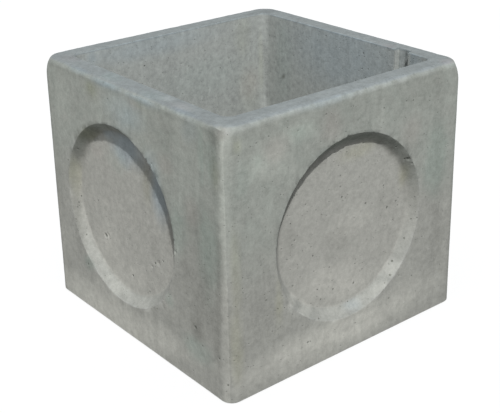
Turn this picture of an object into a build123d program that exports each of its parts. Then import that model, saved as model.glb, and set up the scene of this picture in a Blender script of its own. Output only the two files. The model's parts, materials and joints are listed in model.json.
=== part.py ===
"""Concrete inspection chamber: one cast piece with an open top and a round blind recess in each side.

All dimensions are in millimetres. The origin is the centre of the base, +Z points up, and the front, which looks
along -Y, is a side whose recess is centred. The sides that look along -X and +X have theirs nearer the back.
"""

import os
from math import atan, cos, degrees, radians, sin, sqrt

from build123d import *

os.makedirs("parts", exist_ok=True)

# outside of the box: each side leans in over the height, as cast, and the upright edges narrow with it
base_width = 480.0
height = 421.0
side_draft = 5.5
edge_radius = 19.0
base_edge_bevel = 1.5

# the four top corners are rounded like a ball, and the rim has a softly rounded outer edge
corner_inset = 46.0
corner_depth = 34.0
rim_outer_radius = 8.5

# inside: each wall leans out from the floor to the rim, so that the core comes out. The radius of the upright inner
# edges is the one at the floor, and it grows by the same draft.
rim_wall = 34.0
core_draft = 7.0
floor_thickness = 40.0
inner_edge_radius = 9.0
rim_inner_bevel = 1.5

# round blind recess in each side, with a sloping wall: the pipe's place
recess_radius = 148.0
recess_wall_run = 14.5
recess_depth = 14.5
recess_lip_bevel = 1.2
recess_floor_bevel = 3.0
front_recess_height = 208.0
side_recess_height = 205.0
side_recess_offset = 33.0

# casting seam on the inside of the +X wall, near the front corner, where two pieces of the mould's core met: a strip of
# the wall that is set back, and a groove in the strip's front end
seam_from_corner = 75.7
seam_width = 28.0
seam_depth = 9.0
seam_groove_width = 6.0
seam_groove_depth = 5.0
seam_groove_top_gap = 10.0

# how far cutting tools run past the surface that they meet
overrun = 10.0

rim_width = base_width - 2 * side_draft
opening_width = rim_width - 2 * rim_wall
floor_width = opening_width - 2 * core_draft
outer_lean = side_draft / height
inner_lean = core_draft / (height - floor_thickness)


def outside_width(z):
    """Outside width at the height z."""
    return base_width - 2 * outer_lean * z


def side_plane(direction, along, z):
    """Plane on a leaning side, with its normal outwards.

    Args:
        direction: where the side looks, as an angle about +Z in degrees.
        along: distance from the side's middle, to the left of someone who looks out of it.
        z: height above the base.
    """
    turn = radians(direction)
    lean = atan(outer_lean)
    out = outside_width(z) / 2
    place = (out * cos(turn) - along * sin(turn), out * sin(turn) + along * cos(turn), z)
    normal = (cos(lean) * cos(turn), cos(lean) * sin(turn), sin(lean))
    return Plane(origin=place, x_dir=(-sin(turn), cos(turn), 0), z_dir=normal)


recess_places = [
    side_plane(270, 0, front_recess_height),
    side_plane(90, 0, front_recess_height),
    side_plane(180, -side_recess_offset, side_recess_height),
    side_plane(0, side_recess_offset, side_recess_height),
]

# what a ball takes off a top corner: the ball meets the upright edge where the rounding begins
corner_level = height - corner_depth
corner_reach = outside_width(corner_level) / 2 - corner_inset
edge_radius_there = edge_radius - outer_lean * corner_level
ball_radius = sqrt(2) * (corner_inset - edge_radius_there) + edge_radius_there
with BuildPart() as corner_waste:
    Box(
        corner_inset + overrun,
        corner_inset + overrun,
        corner_depth + overrun,
        align=(Align.MIN, Align.MIN, Align.MIN),
    )
    Sphere(ball_radius, mode=Mode.SUBTRACT)

corner_places = [
    Location((corner_reach, corner_reach, corner_level), (0, 0, 0)),
    Location((-corner_reach, corner_reach, corner_level), (0, 0, 90)),
    Location((-corner_reach, -corner_reach, corner_level), (0, 0, 180)),
    Location((corner_reach, -corner_reach, corner_level), (0, 0, 270)),
]

# the space inside, up past the rim
with BuildPart() as hollow:
    with BuildSketch(Plane.XY.offset(floor_thickness)):
        RectangleRounded(floor_width, floor_width, inner_edge_radius)
    extrude(amount=height + overrun - floor_thickness, taper=-degrees(atan(inner_lean)))

# the space of one recess: the side's face is the plane at the height 0, and the depth runs down
recess_slope = recess_wall_run / recess_depth
with BuildPart() as recess:
    with BuildSketch(Plane.XZ):
        with BuildLine():
            Polyline(
                (0, -recess_depth),
                (recess_radius - recess_wall_run, -recess_depth),
                (recess_radius + recess_slope * overrun, overrun),
                (0, overrun),
                close=True,
            )
        make_face()
    revolve(axis=Axis.Z)
    chamfer(recess.edges().sort_by(Axis.Z)[0], recess_floor_bevel)

def seam_bar(depth, top, start, width):
    """Upright bar that cuts into the inside of the +X wall, from the floor up, in the wall's own section.

    Args:
        depth: how deep it cuts, square to the side.
        top: height of its top end.
        start: distance from the front inner wall, at the rim, to its front end.
        width: its width along the wall.
    """
    low = floor_width / 2
    high = low + inner_lean * (top - floor_thickness)
    with BuildPart() as bar:
        with BuildSketch(Plane.XZ.offset(opening_width / 2 - start)):
            with BuildLine():
                Polyline(
                    (low - overrun, floor_thickness),
                    (low + depth, floor_thickness),
                    (high + depth, top),
                    (high - overrun, top),
                    close=True,
                )
            make_face()
        extrude(amount=-width)
    return bar.part


with BuildPart() as chamber:
    # the outer body, with its ball-shaped corners
    with BuildSketch():
        RectangleRounded(base_width, base_width, edge_radius)
    extrude(amount=height, taper=degrees(atan(outer_lean)))
    with Locations(*corner_places):
        add(corner_waste.part, mode=Mode.SUBTRACT)

    # the outer edge of the rim runs into the edges of the balls, and the edge around the base is softer
    balls = chamber.faces().filter_by(GeomType.SPHERE)
    rim_edges = chamber.faces().sort_by(Axis.Z)[-1].edges()
    ball_edges = ShapeList(edge for ball in balls for edge in ball.edges() if edge not in rim_edges)
    fillet(rim_edges + ball_edges, rim_outer_radius)
    chamfer(chamber.faces().sort_by(Axis.Z)[0].edges(), base_edge_bevel)

    # a recess in each side, with a small bevel on its lip
    with Locations(*recess_places):
        add(recess.part, mode=Mode.SUBTRACT)
    rings = chamber.edges().filter_by(GeomType.CIRCLE)
    chamfer([ring for ring in rings if abs(ring.radius - recess_radius) < recess_lip_bevel / 2], recess_lip_bevel)

    # the space inside, and the inner edge of the rim
    add(hollow.part, mode=Mode.SUBTRACT)
    rim = chamber.faces().filter_by(Plane.XY).sort_by(Axis.Z)[-1]
    chamfer(rim.inner_wires()[0].edges(), rim_inner_bevel)

    # the casting seam: the set back strip runs up through the rim's edge, and the groove ends below it
    seam_start = seam_from_corner - seam_width
    groove_top = height - seam_groove_top_gap
    groove_depth = seam_depth + seam_groove_depth
    add(seam_bar(seam_depth, height + overrun, seam_start, seam_width), mode=Mode.SUBTRACT)
    add(seam_bar(groove_depth, groove_top, seam_start, seam_groove_width), mode=Mode.SUBTRACT)

chamber.part.label = "chamber"
export_step(chamber.part, "parts/chamber.step")
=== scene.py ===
"""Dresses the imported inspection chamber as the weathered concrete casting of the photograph.

Lengths are in metres, angles in degrees and colours in sRGB unless a name says otherwise. The frame is
the part's own: +Z up, the origin at the centre of the base, the front looking along -Y. Every spot that is
placed by a pixel is found on the casting by a ray from the camera, so that it sits on the surface from any
side.
"""

import json
import logging
import math
import random
from dataclasses import dataclass
from enum import Enum
from typing import Any, Iterable, Optional, Union

import bmesh
import bpy
from mathutils import Matrix, Vector, kdtree, noise
from mathutils.bvhtree import BVHTree

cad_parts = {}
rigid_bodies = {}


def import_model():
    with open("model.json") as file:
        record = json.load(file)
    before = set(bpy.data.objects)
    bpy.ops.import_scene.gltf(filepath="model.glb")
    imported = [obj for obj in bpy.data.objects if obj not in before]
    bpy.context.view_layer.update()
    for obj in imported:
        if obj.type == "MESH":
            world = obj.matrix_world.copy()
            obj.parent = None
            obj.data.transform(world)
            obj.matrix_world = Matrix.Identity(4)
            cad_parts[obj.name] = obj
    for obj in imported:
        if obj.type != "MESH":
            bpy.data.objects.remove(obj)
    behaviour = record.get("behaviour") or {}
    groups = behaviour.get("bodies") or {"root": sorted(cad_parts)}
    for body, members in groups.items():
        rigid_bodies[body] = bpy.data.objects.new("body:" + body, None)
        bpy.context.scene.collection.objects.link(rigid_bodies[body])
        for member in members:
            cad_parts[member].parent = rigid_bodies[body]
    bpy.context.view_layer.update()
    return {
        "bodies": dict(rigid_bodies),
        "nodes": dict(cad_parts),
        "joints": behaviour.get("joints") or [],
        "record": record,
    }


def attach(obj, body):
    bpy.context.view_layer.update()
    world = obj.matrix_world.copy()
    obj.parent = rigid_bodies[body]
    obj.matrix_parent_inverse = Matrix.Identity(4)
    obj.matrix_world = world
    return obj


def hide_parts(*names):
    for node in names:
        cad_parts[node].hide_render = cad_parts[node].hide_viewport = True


log = logging.getLogger("chamber")
MM = 0.001
PHOTO_WIDTH = 500
PHOTO_HEIGHT = 413
Number = Union[int, float, "Value"]

# how far in front of or behind its middle a stain still shows, and the half size above which its outline
# is calmer
STAIN_DEPTH = 19 * MM
STAIN_SMALL = 30 * MM

# where a stain ends, how wide its fading edge is and how far points are looked for, as shares of its half
# size
STAIN_END = 1.35
STAIN_FADE = 1.1
STAIN_REACH = 1.75

# the cosine of the turn away from a stain's middle at which the stain is gone, and how much more it takes
# until the stain shows in full
FACING_NONE = 0.72
FACING_SPAN = 0.16


def clamped(share: float) -> float:
    """Keeps a share between 0 and 1."""
    return min(1.0, max(0.0, share))


class Side(Enum):
    """The four sides, each by the direction in which it looks, in degrees about +Z."""

    FRONT = 270
    BACK = 90
    LEFT = 180
    RIGHT = 0

    def outwards(self) -> Vector:
        """Gives the direction in which the side looks."""
        turn = math.radians(self.value)
        return Vector((math.cos(turn), math.sin(turn), 0.0))

    def along(self) -> Vector:
        """Gives the level direction along the side."""
        turn = math.radians(self.value)
        return Vector((-math.sin(turn), math.cos(turn), 0.0))

    def is_across(self) -> bool:
        """Says whether the side looks along the x axis."""
        return self in (Side.LEFT, Side.RIGHT)


class Kind(Enum):
    """What a mark in the surface is."""

    PORE = "pore"
    CHIP = "chip"


class Tint(Enum):
    """The tints of weathering and of painted light and shade, each by the attribute that holds it and its
    place in it.
    """

    GREEN = ("weather", 0)
    RUST = ("weather", 1)
    DARK = ("weather", 2)
    PALE = ("wash", 0)
    PINK = ("wash", 1)
    BLUE = ("wash", 2)


@dataclass(frozen=True)
class Mark:
    """A pore or a chip, by the pixel of the photograph at its middle.

    Args:
        u: pixels to the right of the photograph's left edge.
        v: pixels below its top edge.
        radius_mm: half its width.
        depth_mm: how deep it goes.
        kind: a pore has steep sides, a chip shallow ones.
    """

    u: float
    v: float
    radius_mm: float
    depth_mm: float
    kind: Kind = Kind.PORE


@dataclass(frozen=True)
class Hollow:
    """A mark that has been found on the casting.

    Args:
        spot: its middle, on the surface.
        radius: half its width.
        depth: how deep it goes.
        kind: a pore or a chip.
    """

    spot: Vector
    radius: float
    depth: float
    kind: Kind


@dataclass(frozen=True)
class Stain:
    """A soft stain, or a patch of painted light or shade, by the pixel of the photograph at its middle.

    Args:
        u: pixels to the right of the photograph's left edge.
        v: pixels below its top edge.
        across_mm: half its width along the side or the rim.
        tall_mm: half its height, or half its width across the rim.
        strength: how strong it is, up to 1.
        tint: its tint.
    """

    u: float
    v: float
    across_mm: float
    tall_mm: float
    strength: float
    tint: Tint


@dataclass(frozen=True)
class Patch:
    """A stain that has been found on the casting.

    Args:
        spot: its middle, on the surface.
        normal: where the surface looks there.
        across: half its width.
        tall: half its height.
        tint: its tint.
        strength: how strong it is.
    """

    spot: Vector
    normal: Vector
    across: float
    tall: float
    tint: Tint
    strength: float

    def share(self, at: Vector) -> float:
        """Says how strong the stain is at a point.

        Args:
            at: the point.

        Returns:
            From 0 outside it to its strength in its middle.
        """
        way = at - self.spot
        if abs(way.dot(self.normal)) > STAIN_DEPTH:
            return 0.0
        upwards = Vector((0.0, 0.0, 1.0))
        if self.normal.z > 0.8:
            on_x = abs(self.spot.x) > abs(self.spot.y)
            upwards = Vector((1.0, 0.0, 0.0)) if on_x else Vector((0.0, 1.0, 0.0))
        up = (upwards - upwards.dot(self.normal) * self.normal).normalized()
        along = up.cross(self.normal)
        uneven = 0.30 * noise.noise(at * 28.0 + self.spot * 50.0) + 0.16 * noise.noise(at * 75.0)
        uneven *= min(1.0, STAIN_SMALL / max(self.across, self.tall))
        reach = math.hypot(way.dot(along) / self.across, way.dot(up) / self.tall) + uneven
        fall = clamped((STAIN_END - reach) / STAIN_FADE)
        return self.strength * fall * fall * (3.0 - 2.0 * fall)


def marks(*rows: tuple) -> tuple[Mark, ...]:
    """Makes marks, from a row of fields for each. A row without a kind makes a pore."""
    return tuple(Mark(*row) for row in rows)


def stains(tint: Tint, *rows: tuple[float, float, float, float, float]) -> tuple[Stain, ...]:
    """Makes the stains of one tint.

    Args:
        tint: their tint.
        rows: the other fields of each, from u to its strength.

    Returns:
        The stains.
    """
    return tuple(Stain(*row, tint) for row in rows)


LEFT_MARKS = marks(
    (106, 235.5, 4, 5.4), (108.5, 236, 6, 2.2, Kind.CHIP), (86.6, 234.6, 1.6, 1.2), (81.5, 196, 1.5, 1.3),
    (79, 202.5, 1.4, 1.2), (76, 219, 1.3, 1), (68.3, 160.5, 2, 1.6), (98.5, 200.5, 1.2, 1),
    (84.5, 185.5, 1, 0.9), (145, 212.5, 1.3, 1.1), (155.3, 263.6, 2.5, 2.1),
    (158.5, 263.5, 6.5, 2.4, Kind.CHIP), (152.5, 266.5, 2.6, 1.6, Kind.CHIP), (163, 261, 1.9, 2.2),
    (133, 275.7, 2.6, 3.4), (135.2, 271.5, 1.2, 0.7, Kind.CHIP), (149.7, 291.7, 1.7, 1.4),
    (105, 275.5, 1.1, 0.9), (113.5, 273, 1.3, 0.7, Kind.CHIP), (88.5, 264, 2.6, 1.2),
    (157, 309, 1.5, 1.2), (152.5, 307, 1.2, 0.9), (148, 293, 1, 0.8), (168.5, 296.5, 1.3, 1),
    (163.5, 299.5, 1.1, 0.9), (107.4, 99, 1.4, 1.1), (88, 87.5, 1.2, 1), (195.5, 327.5, 3.4, 1.6),
    (202.5, 346, 1.8, 1.2), (219.5, 359, 2.2, 1.4), (187.5, 339, 1.1, 0.9), (193.5, 370.5, 1.2, 0.9),
    (66.5, 283, 1.6, 1.1),
)

RIGHT_MARKS = marks(
    (342, 197.3, 2, 1.5), (337, 191, 1.4, 0.7, Kind.CHIP), (365.6, 203.5, 1.8, 1.6),
    (383.6, 185.6, 1.6, 1.4), (387, 207.5, 2.4, 1.6), (396, 201, 1.6, 1.3), (397.5, 205, 1.2, 1),
    (393, 219.5, 1.3, 1.1), (411, 219, 1.6, 1.3), (417, 217.5, 1.4, 1.2), (414.5, 197, 1.2, 1),
    (404, 238.3, 1.7, 1.4), (392, 261, 2, 2.4), (390, 275, 2.1, 1.4), (399, 275.5, 1.4, 1.2),
    (384.5, 283, 1.1, 0.9), (305.5, 204.5, 1.3, 1), (316, 210, 1.1, 0.8), (313, 256, 1.7, 1.5),
    (311, 247, 1.3, 1.1), (309, 243.5, 1, 0.8), (353.5, 283, 2.4, 1.5), (333, 289, 1.7, 1.4),
    (332, 280.5, 1, 0.8), (355, 263.5, 1.4, 1.1), (317.6, 289.5, 1.4, 1.1), (320.7, 299.5, 1.8, 1.5),
    (317, 296.5, 1.1, 0.9), (324.5, 299, 1, 0.8), (311, 303.5, 1.4, 1.2), (347.5, 301.5, 1.5, 1),
    (294.5, 240.5, 1.6, 1.4), (292, 245, 1.3, 1.1), (297.5, 236, 1, 0.9), (290.5, 224, 1.2, 1),
    (278, 308.8, 1.4, 0.8), (284.5, 308, 1.2, 1), (319, 318.5, 1.9, 1.6), (308, 342.5, 1.9, 1.7),
    (302, 348, 1, 0.8), (249, 343.5, 1.3, 1), (362, 269, 1.2, 1), (228, 385.5, 1.9, 1.2),
    (413.5, 100.5, 1.7, 1.3), (407, 101, 1, 0.8), (396, 147, 1.3, 1.1), (404.5, 159, 1.8, 1.2),
    (347, 152, 1.2, 1), (366, 88, 1.3, 1), (250.5, 147, 1, 0.8),
)

INNER_MARKS = marks(
    (144.5, 66, 1.7, 1.2), (151.6, 47, 1.2, 0.8), (118.6, 63.1, 1, 0.7), (188.7, 66, 1.1, 0.7),
    (220.3, 68, 1.5, 0.9), (236, 82, 0.9, 0.7), (275, 37, 1.1, 0.8), (326, 36, 1.5, 0.9),
    (283.5, 76.5, 1.1, 0.7), (330, 58, 1.1, 0.7),
)

EDGE_CHIPS = marks(
    (220.3, 127.3, 4.6, 2.2, Kind.CHIP), (164.5, 107, 3.8, 1.3, Kind.CHIP),
    (135, 93.5, 4.5, 1.1, Kind.CHIP), (179, 112.5, 3.2, 1, Kind.CHIP), (359, 91.5, 4, 1, Kind.CHIP),
    (318, 103.8, 3.6, 0.9, Kind.CHIP), (408, 159, 4.2, 2.4, Kind.CHIP), (412, 163.5, 3, 1.6, Kind.CHIP),
    (292.3, 196, 3.4, 2.2, Kind.CHIP), (302, 180.5, 2.6, 1.3, Kind.CHIP),
    (348.5, 136.5, 3.2, 1.6, Kind.CHIP), (334, 143, 2.6, 1.3, Kind.CHIP),
    (363.5, 143, 2.4, 1.1, Kind.CHIP), (101, 128, 3, 1.5, Kind.CHIP), (146, 160, 3.2, 1.4, Kind.CHIP),
    (151.5, 164, 2.4, 1.2, Kind.CHIP), (175.5, 252, 3.4, 1.7, Kind.CHIP),
    (174, 240.5, 2.6, 1.2, Kind.CHIP), (70, 299, 5, 1.6, Kind.CHIP),
)

LEFT_STAINS = (
    stains(
        Tint.PALE,
        (60, 84, 34, 30, 0.16), (60, 110, 24, 34, 0.2), (66, 240, 26, 40, 0.18), (73, 168, 10, 16, 0.16),
        (76, 283, 44, 30, 0.5), (100, 283, 20, 14, 0.3), (108, 250, 46, 46, 0.34),
        (108.8, 235, 4, 3.4, 0.6), (110, 225, 50, 60, 0.12), (112, 313, 150, 38, 1),
        (115, 103, 26, 14, 0.14), (118, 110, 62, 32, 0.2), (118, 300, 24, 14, 0.34),
        (120, 282, 30, 22, 0.34), (134, 276, 44, 26, 0.32), (140, 99, 24, 12, 0.08),
        (144, 306, 24, 14, 0.2), (150, 331, 90, 26, 0.4), (155, 305, 16, 10, 0.24),
        (159.5, 264.5, 5, 3.4, 0.36), (168, 342, 44, 24, 0.6), (170, 305, 26, 22, 0.26),
        (192, 357, 30, 12, 0.22), (218, 368, 12, 16, 0.46),
    )
    # the rows along the recess's shadowed upper wall and right side, from (78, 150) to (172, 234), are
    # painted shade over its shadow, with the dirt there
    + stains(
        Tint.DARK,
        (60, 190, 22, 50, 0.12), (70, 262, 18, 34, 0.16), (76, 205, 12, 60, 0.5), (78, 150, 14, 20, 0.3),
        (80, 235, 12, 40, 0.34), (89, 263, 17, 14, 0.22), (90, 134, 44, 28, 0.4), (92, 89, 20, 14, 0.2),
        (98, 131, 18, 14, 0.4), (112, 137, 16, 10, 0.16), (127, 149, 30, 20, 0.22),
        (140, 165, 22, 12, 0.34), (147, 190, 16, 36, 0.16), (150, 176, 20, 40, 0.3),
        (150, 180, 18, 12, 0.16), (155, 250, 14, 30, 0.16), (158, 192, 14, 20, 0.3),
        (164, 142, 46, 40, 0.12), (165, 205, 16, 46, 0.5), (172, 234, 12, 36, 0.52),
        (181, 232, 16, 26, 0.14), (185, 268, 16, 32, 0.18), (186, 292, 26, 66, 0.14),
        (190, 131, 22, 20, 0.1), (190, 222, 24, 40, 0.18), (193, 322, 10, 9, 0.4),
        (196, 309, 14, 24, 0.2), (198, 331, 15, 22, 0.62), (204, 121, 16, 7, 0.22),
        (206, 252, 42, 95, 0.28), (206, 305, 34, 58, 0.24), (208, 147, 25, 46, 0.24),
        (208, 200, 18, 30, 0.12), (214, 133, 14, 16, 0.5), (215, 178, 12, 38, 0.36),
        (216, 140, 9, 26, 0.36), (218, 345, 9, 52, 0.4), (218.5, 315, 8, 40, 0.2),
        (219, 137, 7, 12, 0.24), (219, 270, 8, 86, 0.44), (227, 330, 8, 80, 0.14),
        (227, 340, 8, 50, 0.14),
    )
    + stains(
        Tint.GREEN,
        (89, 262, 18, 15, 1), (117, 160, 30, 22, 0.5), (170, 300, 12, 14, 0.9), (176, 232, 26, 42, 0.9),
        (199, 351, 40, 22, 1), (201, 152, 8, 46, 0.8), (208, 258, 24, 70, 0.9), (210, 160, 12, 40, 0.6),
    )
    + stains(
        Tint.RUST,
        (75, 172, 14, 42, 0.6), (90, 134, 40, 26, 0.7), (91, 88, 15, 11, 0.6), (91, 89, 24, 18, 0.28),
        (138, 103, 20, 8, 0.3), (147, 188, 14, 36, 0.35), (215, 177, 8, 22, 0.4),
    )
    + stains(
        Tint.PINK,
        (97, 151, 22, 16, 0.4), (132, 103, 14, 10, 0.7), (165, 166, 20, 20, 0.8), (192, 212, 20, 24, 0.8),
    )
    # the rows at (109, 134), (127, 148) and (160, 190) are the painted bluish shade of the recess's shadow
    + stains(
        Tint.BLUE,
        (80, 71, 26, 8, 0.5), (105, 84, 44, 7, 0.8), (109, 134, 20, 12, 0.8), (122, 112, 58, 32, 0.36),
        (127, 148, 46, 34, 1), (128, 118, 40, 22, 0.3), (140, 100, 40, 7, 0.7), (160, 190, 26, 60, 1),
        (181, 112, 30, 7, 0.4), (190, 131, 22, 20, 0.26),
    )
)

RIGHT_STAINS = (
    # the rows at (291, 301) and (304, 311) are painted light that lifts the shade of the recess's lower
    # left wall
    stains(
        Tint.PALE,
        (226, 150, 12, 46, 0.12), (226, 230, 10, 70, 0.08), (250, 378, 34, 20, 0.16),
        (258, 165, 20, 26, 0.2), (276, 160, 30, 30, 0.22), (291, 301, 26, 12, 0.48),
        (300, 131, 34, 16, 0.24), (300, 346, 60, 20, 0.24), (304, 311, 26, 12, 0.46),
        (320, 316, 24, 12, 0.2), (328, 281, 70, 30, 0.24), (335, 313, 24, 12, 0.2),
        (336, 334, 180, 36, 0.48), (345, 328, 100, 24, 0.2), (350, 286, 44, 20, 0.26),
        (351, 305, 20, 13, 0.24), (352, 222, 44, 26, 0.16), (366, 300, 24, 12, 0.16),
        (366, 326, 50, 20, 0.18), (380, 117, 26, 18, 0.12), (384, 288, 30, 14, 0.42),
        (398, 268, 30, 14, 0.38), (404, 294, 50, 34, 0.26), (430, 283, 26, 26, 0.2),
    )
    # the rows at (318, 161.5), (350, 140.5) and (392, 147) are painted shade over the recess's shadowed
    # upper wall
    + stains(
        Tint.DARK,
        (227, 142, 8, 24, 0.08), (236, 302, 8, 30, 0.12), (238, 350, 14, 70, 0.06),
        (243, 124, 14, 8, 0.3), (262, 322, 30, 50, 0.15), (263, 262, 44, 80, 0.06),
        (290, 238, 12, 26, 0.26), (318, 161.5, 18, 12, 0.36), (337, 245, 34, 40, 0.17),
        (340, 113, 40, 22, 0.14), (350, 140.5, 30, 12, 0.24), (386, 200, 26, 34, 0.08),
        (392, 147, 14, 10, 0.26), (420, 75, 40, 8, 0.2), (424, 91, 60, 28, 0.18),
        (437, 240, 18, 56, 0.18), (438, 165, 20, 100, 0.2),
    )
    + stains(
        Tint.GREEN,
        (244, 178, 14, 36, 0.35), (259, 163, 14, 20, 0.4), (303, 132, 26, 14, 0.6),
        (340, 143, 60, 12, 0.6), (436, 160, 28, 66, 1),
    )
    + stains(
        Tint.RUST,
        (236, 270, 9, 70, 0.5), (237, 146, 9, 14, 0.6), (237, 348, 12, 66, 0.62), (279, 304, 8, 44, 0.5),
        (357, 151, 40, 13, 0.55), (403, 174, 10, 24, 0.7),
    )
    + stains(
        Tint.PINK,
        (224, 132, 12, 12, 0.7), (275, 150, 26, 20, 0.7), (331, 125, 20, 26, 0.9),
        (411, 131, 24, 26, 0.8), (449, 61, 18, 12, 1),
    )
    + stains(
        Tint.BLUE,
        (330, 101, 60, 7, 0.3), (351, 305, 20, 13, 0.4),
    )
)

RIM_STAINS = (
    stains(
        Tint.PALE,
        (112, 77, 24, 15, 0.05), (166, 98.5, 14, 8, 0.5), (185, 108, 20, 7, 0.22), (330, 92, 50, 15, 0.1),
    )
    + stains(
        Tint.DARK,
        (260, 13, 60, 16, 0.3), (410, 69, 24, 12, 0.14),
    )
    + stains(
        Tint.GREEN,
        (112, 77, 24, 15, 0.6), (150, 95, 28, 15, 0.5),
    )
    + stains(
        Tint.PINK,
        (70, 58, 30, 17, 0.7), (180, 106, 24, 15, 0.6), (389, 46, 13, 12, 1),
    )
)

INNER_STAINS = (
    # the rows at (406.5, 55) and (406.5, 62) are a painted shadow in the seam's groove
    stains(
        Tint.DARK,
        (240, 36, 20, 26, 0.12), (264, 66, 5, 60, 0.3), (267, 82, 4, 60, 0.34), (385, 60, 30, 40, 0.1),
        (406.5, 55, 3, 12, 0.8), (406.5, 62, 5, 14, 0.9), (410, 60, 24, 30, 0.28),
    )
    + stains(
        Tint.GREEN,
        (205, 78, 90, 40, 0.3), (283, 60, 24, 90, 0.4),
    )
    + stains(
        Tint.RUST,
        (242, 36, 18, 40, 0.3), (250, 88, 28, 46, 0.25), (261, 62, 5, 60, 0.4),
    )
    + stains(
        Tint.PINK,
        (250, 84, 22, 34, 0.6),
    )
    + stains(
        Tint.BLUE,
        (92, 58, 10, 14, 0.4), (150, 46, 140, 22, 0.4), (345, 55, 150, 80, 0.5), (412, 60, 24, 20, 0.6),
    )
)


@dataclass(frozen=True)
class PhotoCamera:
    """The camera at the photograph's viewing angle.

    Args:
        azimuth: turn about +Z from a look along +Y.
        elevation: height above the horizon.
        roll: turn about the line of sight, clockwise in the picture.
        distance: from the aim to the lens.
        aim_height: height of the aim above the base's centre.
        shift_right: how far the lens stands to the right of the line through the aim.
        shift_up: how far it stands above that line.
        focal_pixels: focal length, in pixels of the photograph.
        sensor_mm: width of the sensor.
    """

    azimuth: float = -38.854
    elevation: float = 24.490
    roll: float = -1.123
    distance: float = 1.7201
    aim_height: float = 0.216
    shift_right: float = -0.00108
    shift_up: float = -0.04823
    focal_pixels: float = 1043.32
    sensor_mm: float = 36.0

    def pose(self) -> Matrix:
        """Gives the lens's place and turn in the part's frame."""
        turn, rise, roll = (math.radians(a) for a in (self.azimuth, self.elevation, self.roll))
        back = Vector((math.sin(turn) * math.cos(rise), -math.cos(turn) * math.cos(rise), math.sin(rise)))
        level = Vector((0.0, 0.0, 1.0)).cross(back).normalized()
        plumb = back.cross(level)
        right = math.cos(roll) * level + math.sin(roll) * plumb
        up = math.cos(roll) * plumb - math.sin(roll) * level
        eye = Vector((0.0, 0.0, self.aim_height)) + self.distance * back
        eye += self.shift_right * right + self.shift_up * up
        pose = Matrix((right, up, back)).transposed().to_4x4()
        pose.translation = eye
        return pose

    def ray(self, u: float, v: float) -> tuple[Vector, Vector]:
        """Gives the ray through a pixel.

        Args:
            u: pixels to the right of the photograph's left edge.
            v: pixels below its top edge.

        Returns:
            The lens's place, and the direction of the ray.
        """
        pose = self.pose()
        across = (u - PHOTO_WIDTH / 2) / self.focal_pixels
        down = (v - PHOTO_HEIGHT / 2) / self.focal_pixels
        return pose.translation, (pose.to_3x3() @ Vector((across, -down, -1.0))).normalized()

    def place(self) -> bpy.types.Object:
        """Makes the camera and returns it."""
        data = bpy.data.cameras.new("camera")
        data.sensor_width = self.sensor_mm
        data.lens = self.focal_pixels * self.sensor_mm / PHOTO_WIDTH
        data.clip_end = 20.0
        camera = bpy.data.objects.new("camera", data)
        camera.matrix_world = self.pose()
        bpy.context.scene.collection.objects.link(camera)
        bpy.context.scene.camera = camera
        return camera


class Value:
    """A number inside a material, as the output socket of a node. A sum on values adds its Math nodes."""

    def __init__(self, tree: "Tree", socket: bpy.types.NodeSocket) -> None:
        """Keeps the node tree and the socket."""
        self.tree = tree
        self.socket = socket

    def _math(self, operation: str, *numbers: Number) -> "Value":
        """Adds a Math node on these numbers."""
        node = self.tree.node("ShaderNodeMath", {"operation": operation}, dict(enumerate(numbers)))
        return Value(self.tree, node.outputs[0])

    def __add__(self, other: Number) -> "Value":
        """Adds a number."""
        return self._math("ADD", self, other)

    def __radd__(self, other: Number) -> "Value":
        """Is added to a number."""
        return self._math("ADD", other, self)

    def __sub__(self, other: Number) -> "Value":
        """Takes a number away."""
        return self._math("SUBTRACT", self, other)

    def __rsub__(self, other: Number) -> "Value":
        """Is taken away from a number."""
        return self._math("SUBTRACT", other, self)

    def __mul__(self, other: Number) -> "Value":
        """Multiplies by a number."""
        return self._math("MULTIPLY", self, other)

    def most(self, other: Number) -> "Value":
        """Gives the larger of the two."""
        return self._math("MAXIMUM", self, other)

    def ramp(self, low: float, high: float) -> "Value":
        """Rises smoothly from 0 at low to 1 at high. With low above high it falls.

        Args:
            low: where it is 0.
            high: where it is 1.

        Returns:
            The smooth step.
        """
        node = self.tree.node(
            "ShaderNodeMapRange",
            {"interpolation_type": "SMOOTHSTEP", "clamp": True},
            {"Value": self, "From Min": low, "From Max": high, "To Min": 0.0, "To Max": 1.0},
        )
        return Value(self.tree, node.outputs["Result"])


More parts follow.
